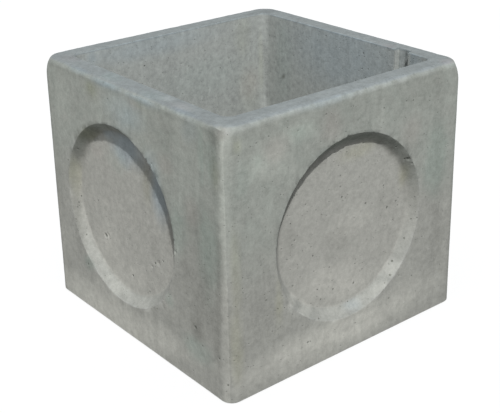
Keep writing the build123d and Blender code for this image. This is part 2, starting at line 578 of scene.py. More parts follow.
class Tree:
    """The nodes of one material."""

    def __init__(self, name: str) -> None:
        """Makes an empty material of that name."""
        self.material = bpy.data.materials.new(name)
        self.material.use_nodes = True
        self.nodes = self.material.node_tree.nodes
        self.links = self.material.node_tree.links
        self.nodes.clear()

    def feed(self, target: bpy.types.NodeSocket, given: Any) -> None:
        """Gives an input its number, vector or colour, or links a Value, a socket or a node to it.

        Args:
            target: the input.
            given: what goes in.
        """
        if isinstance(given, Value):
            self.links.new(given.socket, target)
        elif isinstance(given, bpy.types.NodeSocket):
            self.links.new(given, target)
        elif isinstance(given, bpy.types.Node):
            self.links.new(given.outputs[0], target)
        else:
            target.default_value = given

    def node(
        self,
        kind: str,
        settings: Optional[dict] = None,
        inputs: Optional[dict] = None,
    ) -> bpy.types.Node:
        """Adds any node.

        Args:
            kind: Blender's name of the node's type.
            settings: the node's own properties, which are set first.
            inputs: what goes into each input, by its name or place.

        Returns:
            The new node.
        """
        node = self.nodes.new(kind)
        for name, setting in (settings or {}).items():
            setattr(node, name, setting)
        for key, given in (inputs or {}).items():
            self.feed(node.inputs[key], given)
        return node

    def place(self) -> bpy.types.NodeSocket:
        """Gives the point on the surface, in the part's frame."""
        return self.node("ShaderNodeTexCoord").outputs["Object"]

    def apart(self, vector: bpy.types.NodeSocket) -> tuple[Value, Value, Value]:
        """Gives the three numbers of a vector."""
        node = self.node("ShaderNodeSeparateXYZ", None, {0: vector})
        return tuple(Value(self, out) for out in node.outputs)

    def painted(self, name: str) -> tuple[Value, Value, Value]:
        """Gives the three numbers of an attribute of the mesh."""
        node = self.node("ShaderNodeAttribute", {"attribute_type": "GEOMETRY", "attribute_name": name})
        return self.apart(node.outputs["Vector"])

    def moved(
        self,
        place: bpy.types.NodeSocket,
        start: tuple[float, float, float],
        upright: float = 1.0,
    ) -> bpy.types.NodeSocket:
        """Gives the point moved to another part of a pattern, which may be drawn out upright.

        Args:
            place: the point.
            start: what is added to it.
            upright: the factor of its height before that.

        Returns:
            The new point.
        """
        inputs = {"Vector": place, "Scale": (1.0, 1.0, upright), "Location": start}
        return self.node("ShaderNodeMapping", None, inputs).outputs[0]

    def clouds(
        self,
        place: bpy.types.NodeSocket,
        scale: float,
        detail: float = 2.0,
        rough: float = 0.5,
        warp: float = 0.0,
    ) -> Value:
        """Gives a soft noise from 0 to 1, 0.5 in the middle.

        Args:
            place: the point that it is read at.
            scale: how many swells there are in a metre.
            detail: how many finer layers it has.
            rough: how strong they are.
            warp: how far the pattern is drawn out of shape.

        Returns:
            The noise.
        """
        inputs = {
            "Vector": place,
            "Scale": scale,
            "Detail": detail,
            "Roughness": rough,
            "Distortion": warp,
        }
        node = self.node("ShaderNodeTexNoise", {"noise_dimensions": "3D"}, inputs)
        return Value(self, node.outputs[0])

    def dots(self, place: bpy.types.NodeSocket, scale: float, share: float, width: float) -> Value:
        """Gives scattered round dots of uneven sizes.

        Args:
            place: the point that they are read at.
            scale: how many cells there are in a metre, each with one dot or none.
            share: the share of cells that have one.
            width: half a dot's width, as a share of a cell.

        Returns:
            1 inside a dot and 0 outside.
        """
        node = self.node("ShaderNodeTexVoronoi", {"feature": "F1"}, {"Vector": place, "Scale": scale})
        own = self.node("ShaderNodeSeparateColor", None, {0: node.outputs["Color"]})
        chosen = Value(self, own.outputs[0]).ramp(share + 0.02, share)
        return Value(self, node.outputs["Distance"]).ramp(width, width * 0.4) * chosen

    def mix(self, under: Any, over: Any, share: Number, blend: str = "MIX") -> bpy.types.NodeSocket:
        """Lays one colour over another.

        Args:
            under: the colour below, a socket or linear RGBA.
            over: the colour above.
            share: how much of it shows.
            blend: how the two are joined.

        Returns:
            The mixed colour.
        """
        node = self.node("ShaderNodeMix", {"data_type": "RGBA", "blend_type": blend})
        for target, given in ((node.inputs[0], share), (node.inputs[6], under), (node.inputs[7], over)):
            self.feed(target, given)
        return node.outputs[2]

    def tinted(self, colour: Any, tint: tuple, share: Number) -> bpy.types.NodeSocket:
        """Multiplies a colour by a tint.

        Args:
            colour: the colour.
            tint: the factor of its linear red, green and blue.
            share: how far it is tinted.

        Returns:
            The tinted colour.
        """
        return self.mix(colour, (*tint, 1.0), share, "MULTIPLY")

    def shaded(self, colour: Any, factor: Value) -> bpy.types.NodeSocket:
        """Multiplies a colour by a value."""
        node = self.node("ShaderNodeVectorMath", {"operation": "SCALE"}, {0: colour, "Scale": factor})
        return node.outputs[0]


def linear(colour: tuple[float, float, float]) -> tuple[float, float, float, float]:
    """Turns an sRGB colour, from 0 to 255, into linear RGBA."""
    shares = (c / 255.0 for c in colour)
    parts = (c / 12.92 if c <= 0.04045 else ((c + 0.055) / 1.055) ** 2.4 for c in shares)
    return (*parts, 1.0)


@dataclass(frozen=True)
class ConcreteFinish:
    """Cast concrete that has stood outdoors, with sand grain, mould streaks, stains and pores, and painted
    light and shade.

    The tints are factors of linear red, green and blue.

    Args:
        grey: the common colour of the sides.
        settled: the darker colour of what faces up: dust, with painted shade that tempers the sun on
            upward faces.
        rim_skin_and_sky: the rim's own smoother skin, with a painted bluish sky reflection.
        pore_dirt_and_shade: the colour inside pores: dirt, with painted shade.
        green: tint of the damp upper part.
        rust: the yellowish tint of water marks.
        dark: tint of damp and dirty places, and of painted shade over the recesses' shadows and in the
            seam's groove.
        pale: tint of dry places with a bloom of lime, and of painted fill light on the left side and the
            front recess's lower left wall.
        pink: tint of drier patches.
        blue: tint of the smoothest cement skin, and of the painted bluish shade in the left recess's
            shadow.
        wear_and_highlight: tint of the edges' wear, with a painted highlight along the rim's outer edge.
        bed: tint of the recess floors.
        inner_fill_light: tint of the inner walls, which lifts and cools them: a painted fill light.
        roughness: how matt the surface is.
        specular: how much of a sheen it has.
    """

    grey: tuple = (152, 152, 146)
    settled: tuple = (142, 143, 138)
    rim_skin_and_sky: tuple = (125, 130, 130)
    pore_dirt_and_shade: tuple = (98, 100, 93)
    green: tuple = (0.94, 1.04, 1.02)
    rust: tuple = (1.0, 0.99, 0.80)
    dark: tuple = (0.50, 0.50, 0.49)
    pale: tuple = (1.70, 1.68, 1.66)
    pink: tuple = (1.05, 0.985, 0.99)
    blue: tuple = (0.89, 1.00, 1.13)
    wear_and_highlight: tuple = (1.11, 1.12, 1.16)
    bed: tuple = (1.14, 1.13, 1.13)
    inner_fill_light: tuple = (1.11, 1.155, 1.20)
    roughness: float = 0.92
    specular: float = 0.28

    def tone(self, tree: Tree, place: bpy.types.NodeSocket, height: float) -> bpy.types.NodeSocket:
        """Works out the concrete's colour, with its stains and its painted light and shade.

        Args:
            tree: the material's nodes.
            place: the point on the surface.
            height: height of the rim.

        Returns:
            The colour.
        """
        green, rust, dark = tree.painted("weather")
        pale, pink, blue = tree.painted("wash")
        upward, bed, inside = tree.painted("form")
        wear_and_highlight, _, top = tree.painted("edge")
        z = tree.apart(place)[2]
        mottle = tree.clouds(place, 34.0, 4.0, 0.62, 0.3)
        second = tree.clouds(tree.moved(place, (3.1, 7.7, 1.9)), 46.0, 3.0, 0.6, 0.2)
        broad = tree.clouds(place, 7.5, 3.0, 0.5, 0.2)
        breakup = mottle * 1.7 + 0.15
        fine = tree.clouds(place, 170.0, 3.0, 0.7)

        # what faces up is darker: dust, with painted shade that tempers the sun on upward faces
        colour = tree.mix(linear(self.grey), linear(self.settled), upward.ramp(0.06, 0.62) * 0.95)
        # the rim: its smoother skin, with a painted bluish sky reflection
        colour = tree.mix(colour, linear(self.rim_skin_and_sky), top)
        damp = (z + broad * 0.16).ramp(height * 0.62, height * 0.90)
        damp = damp * (1.0 - bed.most(top).most(inside) * 0.9)
        colour = tree.tinted(colour, self.green, (damp * 0.45 + green * 0.75) * (second * 1.3 + 0.35))
        colour = tree.tinted(colour, self.rust, rust * (second * 1.0 + 0.2))
        colour = tree.tinted(colour, self.pink, pink * (second * 1.3 + 0.3))
        colour = tree.tinted(colour, self.blue, blue * (breakup * 0.5 + 0.5))
        colour = tree.tinted(colour, self.bed, bed * (1.0 - upward.ramp(0.1, 0.4)))
        colour = tree.tinted(colour, self.pale, pale * (breakup * 0.2 + 0.8))
        # the dark tint: dirt, and painted shade over the recesses' shadows and in the seam's groove
        colour = tree.tinted(colour, self.dark, dark * (breakup * 0.35 + fine * 1.1 + 0.1))
        # painted fill light that lifts and cools the inner walls
        colour = tree.tinted(colour, self.inner_fill_light, inside)
        # the edges' wear, with a painted highlight along the rim's outer edge
        return tree.tinted(colour, self.wear_and_highlight, wear_and_highlight * mottle.ramp(0.38, 0.58))

    def grain(self, tree: Tree, place: bpy.types.NodeSocket) -> Value:
        """Works out the light and dark grain of the surface.

        Args:
            tree: the material's nodes.
            place: the point on the surface.

        Returns:
            The factor of the colour, about 1.
        """
        _, bed, inside = tree.painted("form")
        sand = tree.clouds(place, 95.0, 6.0, 0.84)
        swell = tree.clouds(tree.moved(place, (1.7, 4.1, 8.3)), 22.0, 3.0, 0.6)
        streak = tree.clouds(tree.moved(place, (6.1, 2.7, 0.4), 0.14), 80.0, 4.0, 0.7, 0.4)
        run = tree.clouds(tree.moved(place, (0.3, 5.2, 2.9), 0.11), 26.0, 2.0, 0.5)
        streaks = (streak - 0.5) * 0.30 + (run - 0.5) * 0.20
        grains = (sand - 0.5) * (inside * 0.3 + 1.0) + (swell - 0.5) * 0.08
        return 1.0 + grains + streaks * (1.0 - bed * 0.85)

    def material(self, height: float) -> bpy.types.Material:
        """Builds the material.

        Args:
            height: height of the casting's rim.

        Returns:
            The material.
        """
        tree = Tree("concrete")
        place = tree.place()
        pit = tree.painted("edge")[1]
        colour = tree.shaded(self.tone(tree, place, height), self.grain(tree, place))
        fine_dots = tree.dots(place, 210.0, 0.10, 0.26)
        large_dots = tree.dots(tree.moved(place, (0.6, 0.2, 0.9)), 95.0, 0.055, 0.20)
        holes = fine_dots.most(large_dots)
        # pores, the fine dots among them too: dirt, with painted shade inside them
        colour = tree.mix(colour, linear(self.pore_dirt_and_shade), (holes * 0.42).most(pit * 0.85))

        sand = tree.clouds(place, 480.0, 3.0, 0.65)
        lumps = tree.clouds(place, 150.0, 2.0, 0.5)
        relief = sand * 0.55 + lumps * 0.7 - holes * 1.1
        bump = tree.node("ShaderNodeBump", None, {"Height": relief, "Strength": 0.7, "Distance": 0.0006})
        inputs = {
            "Base Color": colour,
            "Roughness": self.roughness,
            "Specular IOR Level": self.specular,
            "Normal": bump,
        }
        concrete = tree.node("ShaderNodeBsdfPrincipled", None, inputs)
        tree.node("ShaderNodeOutputMaterial", None, {"Surface": concrete})
        return tree.material


@dataclass
class CastBody:
    """The cast body of the chamber, as one closed mesh.

    Args:
        base_width: outside width at the ground.
        height: height of the rim.
        side_draft: how far each side leans in over the height.
        rim_wall: width of the rim.
        core_draft: how far each inner wall leans out over its height.
        floor_thickness: thickness of the floor.
        cell: size of the mesh's cells on the plain sides.
        recess_radius: radius of a recess at the side's face.
        recess_depth: depth of a recess.
        wall_slope: how steeply its wall runs in, below 90.
        lip_round: radius of a recess's lip.
        cove_round: radius between a recess's wall and its floor.
        front_recess_height: height of the recess's middle in the front and back.
        side_recess_height: the same in the left and right sides.
        side_recess_offset: how far the middle stands towards the back there.
        window: half the width of the square of mesh that a recess is set into.
        window_height: height of the middle of that square.
        side_window_offset: how far it stands towards the back in the left and right sides.
        seam_strip: where the casting seam's set back strip begins and ends, along y.
        seam_strip_depth: how far it is set back into the +X wall.
        seam_groove: the same places for the groove in its front end.
        seam_groove_depth: how far the groove goes in, from the wall's face.
        seam_groove_top: where the groove ends, below the rim.
        corner_inset: how far in from the rim's edge the ball-shaped corners reach.
        corner_depth: how far down they reach.
        inner_edge_round: radius of the upright inner edges.
        rim_bevel: radius of the rim's inner edge.
        step: width of a steep flank in the mesh.
        lift: how far a recess's first ring stands off while it is joined, so that both loops run the same
            way.
        wave_mm: height of the long waves that the mould left.
        ripple_mm: height of the shorter waves.
        skin_mm: how uneven the skin is.
        rim_wear_mm: how uneven the rim's outer edge is.
        lip_wear_mm: how uneven a recess's lip is.
        mark_depth: the share of a mark's depth that is pressed in.
        left_painted_fill: how much paler the left side is painted than the others, a painted fill light,
            as a share of the pale tint.
        foot_height: height of the middle of the pale foot of the back and the right side.
        foot_bloom: half its width, half its height and its strength.
        left_wear_and_highlight: how pale the left side's rim edge is, with its wear and painted highlight,
            as a share of the other edges.
        lip_worn: how pale a recess's lip is, as the same share.
        grime_and_shade: how far dirt and painted shade darken the upper walls of the recesses, where their
            shadow falls, as a share of the dark tint.
        sharp_angle: the turn between two faces from which the edge between them is shaded sharp.
        seed: where the random numbers start.
    """

    base_width: float = 0.480
    height: float = 0.421
    side_draft: float = 0.0055
    rim_wall: float = 0.034
    core_draft: float = 0.007
    floor_thickness: float = 0.040
    cell: float = 0.007
    recess_radius: float = 0.148
    recess_depth: float = 0.0145
    wall_slope: float = 45.0
    lip_round: float = 0.0015
    cove_round: float = 0.009
    front_recess_height: float = 0.208
    side_recess_height: float = 0.205
    side_recess_offset: float = 0.033
    window: float = 0.168
    window_height: float = 0.208
    side_window_offset: float = 0.0335
    seam_strip: tuple = (-0.1528, -0.1248)
    seam_strip_depth: float = 0.009
    seam_groove: tuple = (-0.1528, -0.1468)
    seam_groove_depth: float = 0.014
    seam_groove_top: float = 0.411
    corner_inset: float = 0.047
    corner_depth: float = 0.036
    inner_edge_round: float = 0.012
    rim_bevel: float = 0.0015
    step: float = 0.0004
    lift: float = 0.010
    wave_mm: float = 0.28
    ripple_mm: float = 0.12
    skin_mm: float = 0.06
    rim_wear_mm: float = 0.42
    lip_wear_mm: float = 0.85
    mark_depth: float = 0.62
    left_painted_fill: float = 0.30
    foot_height: float = 0.03
    foot_bloom: tuple = (0.19, 0.035, 0.42)
    left_wear_and_highlight: float = 0.3
    lip_worn: float = 0.35
    grime_and_shade: float = 0.55
    sharp_angle: float = 38.0
    seed: int = 7

    def __post_init__(self) -> None:
        """Works out what follows from the sizes."""
        self.rim_width = self.base_width - 2 * self.side_draft
        self.opening = self.rim_width - 2 * self.rim_wall
        self.core = self.opening - 2 * self.core_draft
        self.bm = bmesh.new()

    def lean_out(self, z: float) -> float:
        """Half the outside width at a height."""
        return self.base_width / 2 - self.side_draft * z / self.height

    def lean_in(self, z: float) -> float:
        """Half the inside width at a height."""
        share = (z - self.floor_thickness) / (self.height - self.floor_thickness)
        return self.core / 2 + self.core_draft * share

    def recess_place(self, side: Side) -> Matrix:
        """Gives the frame of a recess: its middle on the side's face, x along the side and z outwards."""
        z = self.side_recess_height if side.is_across() else self.front_recess_height
        offset = self.side_recess_offset if side.is_across() else 0.0
        lean = math.atan(self.side_draft / self.height)
        normal = math.cos(lean) * side.outwards() + Vector((0.0, 0.0, math.sin(lean)))
        along = side.along()
        place = Matrix((along, normal.cross(along), normal)).transposed().to_4x4()
        place.translation = self.lean_out(z) * side.outwards() + Vector((0.0, offset, z))
        return place

    def recess_frames(self) -> list[Matrix]:
        """Gives the four matrices that turn a point into a recess's own frame."""
        return [self.recess_place(side).inverted() for side in Side]

    def block(self) -> None:
        """Makes the plain box with its leaning sides."""
        bm = self.bm
        bmesh.ops.create_cube(bm, size=1.0)
        bmesh.ops.scale(bm, vec=(self.base_width, self.base_width, self.height), verts=bm.verts)
        bmesh.ops.translate(bm, vec=(0.0, 0.0, self.height / 2), verts=bm.verts)
        narrow = self.rim_width / self.base_width
        top = [v for v in bm.verts if v.co.z > self.height / 2]
        bmesh.ops.scale(bm, vec=(narrow, narrow, 1.0), verts=top)

    def hollow(self) -> None:
        """Sinks the space inside, and rounds its upright edges and the inner edge of the rim."""
        bm = self.bm
        lid = max(bm.faces, key=lambda f: f.calc_center_median().z)
        bmesh.ops.inset_region(bm, faces=[lid], thickness=self.rim_wall, use_even_offset=True)
        made = bmesh.ops.extrude_face_region(bm, geom=[lid])["geom"]
        low = [g for g in made if isinstance(g, bmesh.types.BMVert)]
        bmesh.ops.translate(bm, vec=(0.0, 0.0, self.floor_thickness - self.height), verts=low)
        narrow = self.core / self.opening
        bmesh.ops.scale(bm, vec=(narrow, narrow, 1.0), verts=low)
        if lid.is_valid:
            bmesh.ops.delete(bm, geom=[lid], context="FACES_ONLY")
        inside = self.opening / 2 + self.step
        upright = [
            e
            for e in bm.edges
            if abs(e.verts[0].co.z - e.verts[1].co.z) > self.height / 2 and abs(e.verts[0].co.x) < inside
        ]
        self.bevel(upright, self.inner_edge_round, 6)
        rim = [
            e
            for e in bm.edges
            if all(v.co.z > self.height - self.step and max(map(abs, v.co.xy)) < inside for v in e.verts)
        ]
        self.bevel(rim, self.rim_bevel, 2)

    def bevel(self, edges: list, width: float, segments: int) -> None:
        """Rounds edges.

        Args:
            edges: the edges.
            width: how far from the edge the round begins.
            segments: how many faces it has.
        """
        bmesh.ops.bevel(
            self.bm,
            geom=edges,
            offset=width,
            offset_type="OFFSET",
            segments=segments,
            profile=0.5,
            affect="EDGES",
            material=-1,
        )

    def cut(self, axis: int, places: Iterable[float]) -> None:
        """Cuts the whole mesh by planes across one axis.

        Args:
            axis: 0, 1 or 2 for x, y or z.
            places: where the planes are.
        """
        bm = self.bm
        normal = Vector((0.0, 0.0, 0.0))
        normal[axis] = 1.0
        for at in sorted(set(places)):
            geom = bm.verts[:] + bm.edges[:] + bm.faces[:]
            bmesh.ops.bisect_plane(bm, geom=geom, dist=1e-6, plane_co=normal * at, plane_no=normal)

    def grid(self) -> None:
        """Cuts the mesh into cells, closer together near the edges, and makes the underside one face."""
        half = self.base_width / 2
        close = (2.2, 4.4, 6.5, 8.7, 11.5, 15.0, 19.0, 25.0, 32.0)
        near = [half - d * MM for d in close]
        count = round(2 * self.window / self.cell)
        run = [k * self.cell - self.window for k in range(count + 1)]
        rest = [0.202, 0.1945, 0.1875, 0.181, 0.1745]
        across = run + near + rest
        self.cut(0, [s * p for p in across for s in (-1, 1)])
        steps = []
        for low, high in (self.seam_strip, self.seam_groove):
            steps += [low, low + self.step, high - self.step, high]
        side_run = [p + self.side_window_offset for p in run]
        front_rest = [-0.202, -0.1945, -0.1875, -0.181, -0.1745, -0.168, -0.160, -0.1405]
        self.cut(1, side_run + near + [-p for p in near] + steps + front_rest)
        self.underside()
        below_rim = (1.5, 2.2, 4.4, 6.5, 8.7, 12.0, 17.0, 23.0, 28.5, 34.0, 39.5)
        down = [self.height - d * MM for d in below_rim]
        up = [1.5 * MM, 3.5 * MM, 0.008, 0.014, 0.020, 0.0265, 0.033]
        rows = [p + self.window_height for p in run]
        self.cut(2, rows + down + up + [self.seam_groove_top, self.seam_groove_top + self.step])
        log.info("grid: %d faces", len(self.bm.faces))

    def underside(self) -> None:
        """Makes the underside one face again."""
        flat = [f for f in self.bm.faces if f.calc_center_median().z < self.step]
        bmesh.ops.dissolve_faces(self.bm, faces=flat, use_verts=False)

    def profile(self) -> list[tuple[float, float]]:
        """Gives the section of a recess, from the face to the floor, as radius and depth."""
        slope = math.radians(self.wall_slope)
        reach = math.tan(slope / 2)
        lip, cove = self.lip_round, self.cove_round
        start = self.recess_radius + lip * reach
        points = []
        for k in range(4):
            turn = slope * k / 3
            points.append((start - lip * math.sin(turn), lip * (1 - math.cos(turn))))
        floor_radius = self.recess_radius - self.recess_depth / math.tan(slope)
        low = floor_radius - cove * reach
        deep = []
        for k in range(5):
            turn = slope * (1 - k / 4)
            deep.append((low + cove * math.sin(turn), self.recess_depth - cove * (1 - math.cos(turn))))
        top, bottom = points[-1], deep[0]
        for k in (1, 2, 3):
            share = k / 4
            points.append(tuple(a + (b - a) * share for a, b in zip(top, bottom)))
        points += deep
        for inward in (0.0035, 0.008, 0.0135, 0.0195, 0.026, 0.033):
            points.append((low - inward, self.recess_depth))
        return points

    def recess(self, side: Side) -> None:
        """Sets one recess into its side.

        Args:
            side: the side.
        """
        bm = self.bm
        place = self.recess_place(side)
        back = place.inverted()
        offset = self.side_window_offset if side.is_across() else 0.0
        low, high = offset - self.window, offset + self.window
        axis = 1 if side.is_across() else 0
        bottom, top = self.window_height - self.window, self.window_height + self.window
        away = []
        for face in bm.faces:
            middle = face.calc_center_median()
            if low < middle[axis] < high and bottom < middle.z < top and abs((back @ middle).z) < 2 * MM:
                away.append(face)
        bmesh.ops.delete(bm, geom=away, context="FACES")
        hole = [e for e in bm.edges if e.is_boundary]
        profile = self.profile()
        radius, depth = profile[0]
        raised = place @ Matrix.Translation((0.0, 0.0, self.lift))
        circle = bmesh.ops.create_circle(
            bm,
            cap_ends=False,
            radius=radius,
            segments=len(hole),
            matrix=raised,
        )
        ring = circle["verts"]
        inner = list({e for v in ring for e in v.link_edges})
        made = bmesh.ops.bridge_loops(bm, edges=hole + inner)
        turned = place.to_3x3()
        bmesh.ops.translate(bm, vec=turned @ Vector((0.0, 0.0, -self.lift)), verts=ring)
        rungs = [e for e in made["edges"] if not set(e.verts) <= set(ring)]
        bmesh.ops.subdivide_edges(bm, edges=rungs, cuts=6, use_grid_fill=True)
        for next_radius, next_depth in profile[1:]:
            made = bmesh.ops.extrude_edge_only(bm, edges=inner)["geom"]
            inner = [g for g in made if isinstance(g, bmesh.types.BMEdge)]
            verts = [g for g in made if isinstance(g, bmesh.types.BMVert)]
            grow = next_radius / radius
            bmesh.ops.scale(bm, vec=(grow, grow, 1.0), verts=verts, space=back)
            bmesh.ops.translate(bm, vec=turned @ Vector((0.0, 0.0, depth - next_depth)), verts=verts)
            radius, depth = next_radius, next_depth
        rails = []
        for edge in inner:
            middle = back @ ((edge.verts[0].co + edge.verts[1].co) / 2)
            if abs(middle.y) > abs(middle.x):
                rails.append(edge)
        bmesh.ops.grid_fill(bm, edges=rails)
        log.info("recess %s: %d cells around, %d faces so far", side.name, len(hole), len(bm.faces))

    def seam(self) -> None:
        """Sets the casting seam's strip back into the inner wall, up through the rim, with its groove."""
        low, high = (p + s * self.step for p, s in zip(self.seam_strip, (1, -1)))
        groove_low, groove_high = (p + s * self.step for p, s in zip(self.seam_groove, (1, -1)))
        edge = self.opening / 2 + self.rim_bevel
        far = edge + 13 * MM
        near = edge + self.seam_strip_depth
        tiny = 1e-5
        moved = 0
        for v in self.bm.verts:
            above_floor = v.co.z > self.floor_thickness - tiny
            if not (low - tiny < v.co.y < high + tiny and v.co.x > 0.18 and above_floor):
                continue
            on_rim = v.co.z > self.height - tiny and edge - tiny < v.co.x < far - tiny
            on_wall = v.co.x < self.lean_in(v.co.z) + 1.6 * MM and v.co.x > self.lean_in(v.co.z) - tiny
            if on_rim:
                v.co.x = near + (v.co.x - edge) * (far - near) / (far - edge)
            elif on_wall:
                below_top = v.co.z < self.seam_groove_top + tiny
                in_groove = groove_low - tiny < v.co.y < groove_high + tiny and below_top
                v.co.x += self.seam_groove_depth if in_groove else self.seam_strip_depth
            moved += on_rim or on_wall
        log.info("seam: %d points set back", moved)

    def settle(self, solid: bpy.types.Object) -> None:
        """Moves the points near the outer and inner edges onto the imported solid's own surface.

        Args:
            solid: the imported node.
        """
        copy = bmesh.new()
        copy.from_mesh(solid.data)
        bmesh.ops.remove_doubles(copy, verts=copy.verts, dist=1e-6)
        tree = BVHTree.FromBMesh(copy)
        frames = self.recess_frames()
        keep = self.recess_radius + 4 * MM
        strip_low, strip_high = self.seam_strip
        far = 0.0
        for v in self.bm.verts:
            near_recess = False
            for frame in frames:
                local = frame @ v.co
                if abs(local.z) < 0.02 and math.hypot(local.x, local.y) < keep:
                    near_recess = True
            beside = strip_low - 1.2 * MM < v.co.y < strip_high + 1.2 * MM
            on_seam = beside and 0.18 < v.co.x < self.opening / 2 + 16 * MM
            if near_recess or on_seam:
                continue
            grounded = v.co.z < 1e-5
            spot = tree.find_nearest(v.co)[0]
            for _ in range(24 if grounded else 0):
                spot.z = 0.0
                spot = tree.find_nearest(spot)[0]
            far = max(far, (spot - v.co).length)
            v.co = (spot.x, spot.y, 0.0) if grounded else spot
        copy.free()
        log.info("settled on the solid, by up to %.2f mm", far / MM)

    def ease_corners(self) -> None:
        """Evens out the ball-shaped corners, whose points were taken from flat facets."""
        reach = self.lean_out(self.height) - self.corner_inset
        level = self.height - self.corner_depth
        ball = [v for v in self.bm.verts if v.co.z > level and min(map(abs, v.co.xy)) > reach]
        for _ in range(2):
            bmesh.ops.smooth_vert(
                self.bm,
                verts=ball,
                factor=0.5,
                use_axis_x=True,
                use_axis_y=True,
                use_axis_z=True,
            )

    def relief(self) -> None:
        """Gives the surface the gentle waves of the mould, and the edges their unevenness."""
        bm = self.bm
        bm.normal_update()
        moves = []
        frames = self.recess_frames()
        for v in bm.verts:
            at = v.co
            ripple = noise.noise(at * 26.0 + Vector((5.0, 2.0, 9.0)))
            wave = self.wave_mm * noise.noise(at * 9.0) + self.ripple_mm * ripple
            rough = noise.noise(at * 95.0) + 0.6 * noise.noise(at * 210.0)
            wear = self.rim_wear_mm * self.rim_share(at) + self.lip_wear_mm * self.lip_share(at, frames)
            moves.append(v.normal * (wave + (self.skin_mm + wear) * rough) * MM)
        for v, move in zip(bm.verts, moves):
            if v.co.z > 1e-5:
                v.co += move

    def rim_share(self, at: Vector) -> float:
        """Says how close a point is to the rim's outer edge: 1 on it, 0 away from it."""
        out = max(abs(at.x), abs(at.y))
        gap = math.hypot(self.height - 2.5 * MM - at.z, self.lean_out(at.z) - 2.5 * MM - out)
        return max(0.0, 1.0 - gap / (10.0 * MM))

    def lip_share(self, at: Vector, frames: list[Matrix]) -> float:
        """Says how close a point is to a recess's lip.

        Args:
            at: the point.
            frames: what turns it into each recess's own frame.

        Returns:
            1 on a lip, 0 away from it.
        """
        share = 0.0
        for frame in frames:
            local = frame @ at
            if abs(local.z) < 4 * MM:
                gap = abs(math.hypot(local.x, local.y) - self.recess_radius)
                share = max(share, 1.0 - gap / (3.2 * MM))
        return share

    def surface(self) -> BVHTree:
        """Gives the mesh as it is now, for finding spots on it."""
        return BVHTree.FromBMesh(self.bm)

    def find(self, marks: Iterable[Mark], camera: PhotoCamera) -> list[Hollow]:
        """Finds marks on the casting.

        Args:
            marks: the marks, by their pixels.
            camera: the photograph's camera.

        Returns:
            The marks with their places.
        """
        tree = self.surface()
        found = []
        for mark in marks:
            spot = tree.ray_cast(*camera.ray(mark.u, mark.v))[0]
            if spot is None:
                log.warning("no surface at pixel %.0f, %.0f", mark.u, mark.v)
                continue
            depth = self.mark_depth * mark.depth_mm * MM
            found.append(Hollow(spot, mark.radius_mm * MM, depth, mark.kind))
        return found

    def scattered(
        self,
        chance: random.Random,
        count: int,
        sides: Iterable[Side],
        inside: bool,
    ) -> list[tuple[Vector, Vector]]:
        """Picks spots on the sides, or on the inner walls behind them.

        Args:
            chance: where the random numbers come from.
            count: how many spots each side gets.
            sides: the sides.
            inside: whether the spots are on the inner walls.

        Returns:
            The spots, each with the surface's normal there.
        """
        tree = self.surface()
        found = []
        spread = 0.175 if inside else 0.215
        low = self.floor_thickness + 0.015 if inside else 0.02
        for side in sides:
            outwards = side.outwards()
            for _ in range(count):
                start = side.along() * chance.uniform(-spread, spread)
                start.z = chance.uniform(low, self.height - 0.015)
                if not inside:
                    start += outwards
                spot, normal, _, _ = tree.ray_cast(start, outwards if inside else -outwards)
                if spot is not None:
                    found.append((spot, normal))
        return found

    def pores(self, chance: random.Random) -> list[Hollow]:
        """Scatters pores where the photograph shows none by themselves.

        Args:
            chance: where the random numbers come from.

        Returns:
            The pores.
        """
        spots = self.scattered(chance, 24, (Side.BACK, Side.RIGHT), False)
        spots += self.scattered(chance, 5, Side, True)
        found = []
        for spot, _ in spots:
            radius = (0.8 + 1.3 * chance.random() ** 3) * MM
            found.append(Hollow(spot, radius, radius * 0.45, Kind.PORE))
        return found

    def pit(self, hollows: list[Hollow]) -> None:
        """Refines the mesh round the marks and presses them in.

        Args:
            hollows: the marks.
        """
        bm = self.bm
        tree = kdtree.KDTree(len(hollows))
        for k, hollow in enumerate(hollows):
            tree.insert(hollow.spot, k)
        tree.balance()
        for _ in range(4):
            split = set()
            for face in bm.faces:
                if len(face.verts) > 20:
                    continue
                middle = face.calc_center_median()
                _, k, gap = tree.find(middle)
                size = max(e.calc_length() for e in face.edges)
                if gap < hollows[k].radius * 1.1 + size * 0.5 and size > hollows[k].radius * 0.5:
                    split.update(face.edges)
            if split:
                bmesh.ops.subdivide_edges(bm, edges=list(split), cuts=1, use_grid_fill=True)
        bm.normal_update()
        shade = bm.verts.layers.float_vector["edge"]
        reach = max(h.radius for h in hollows) * 1.4
        for v in bm.verts:
            deep, share = 0.0, 0.0
            for _, k, gap in tree.find_range(v.co, reach):
                hollow = hollows[k]
                seed = Vector((k * 1.7, k * 0.9, 0.0))
                wobble = 1.0 + 0.28 * noise.noise((v.co - hollow.spot) * (0.9 / hollow.radius) + seed)
                part = gap / (hollow.radius * wobble)
                if part >= 1.0:
                    continue
                power = 2.6 if hollow.kind is Kind.PORE else 1.6
                fall = 1.0 - part**power
                deep = max(deep, hollow.depth * fall)
                share = max(share, fall if hollow.kind is Kind.PORE else 0.12 * fall)
            if deep > 0.0:
                v.co -= v.normal * deep
                v[shade].y = share
        log.info("pits: %d marks, %d faces", len(hollows), len(bm.faces))

    def layers(self) -> None:
        """Makes the attributes that the finish reads."""
        for name in ("weather", "wash", "form", "edge"):
            self.bm.verts.layers.float_vector.new(name)

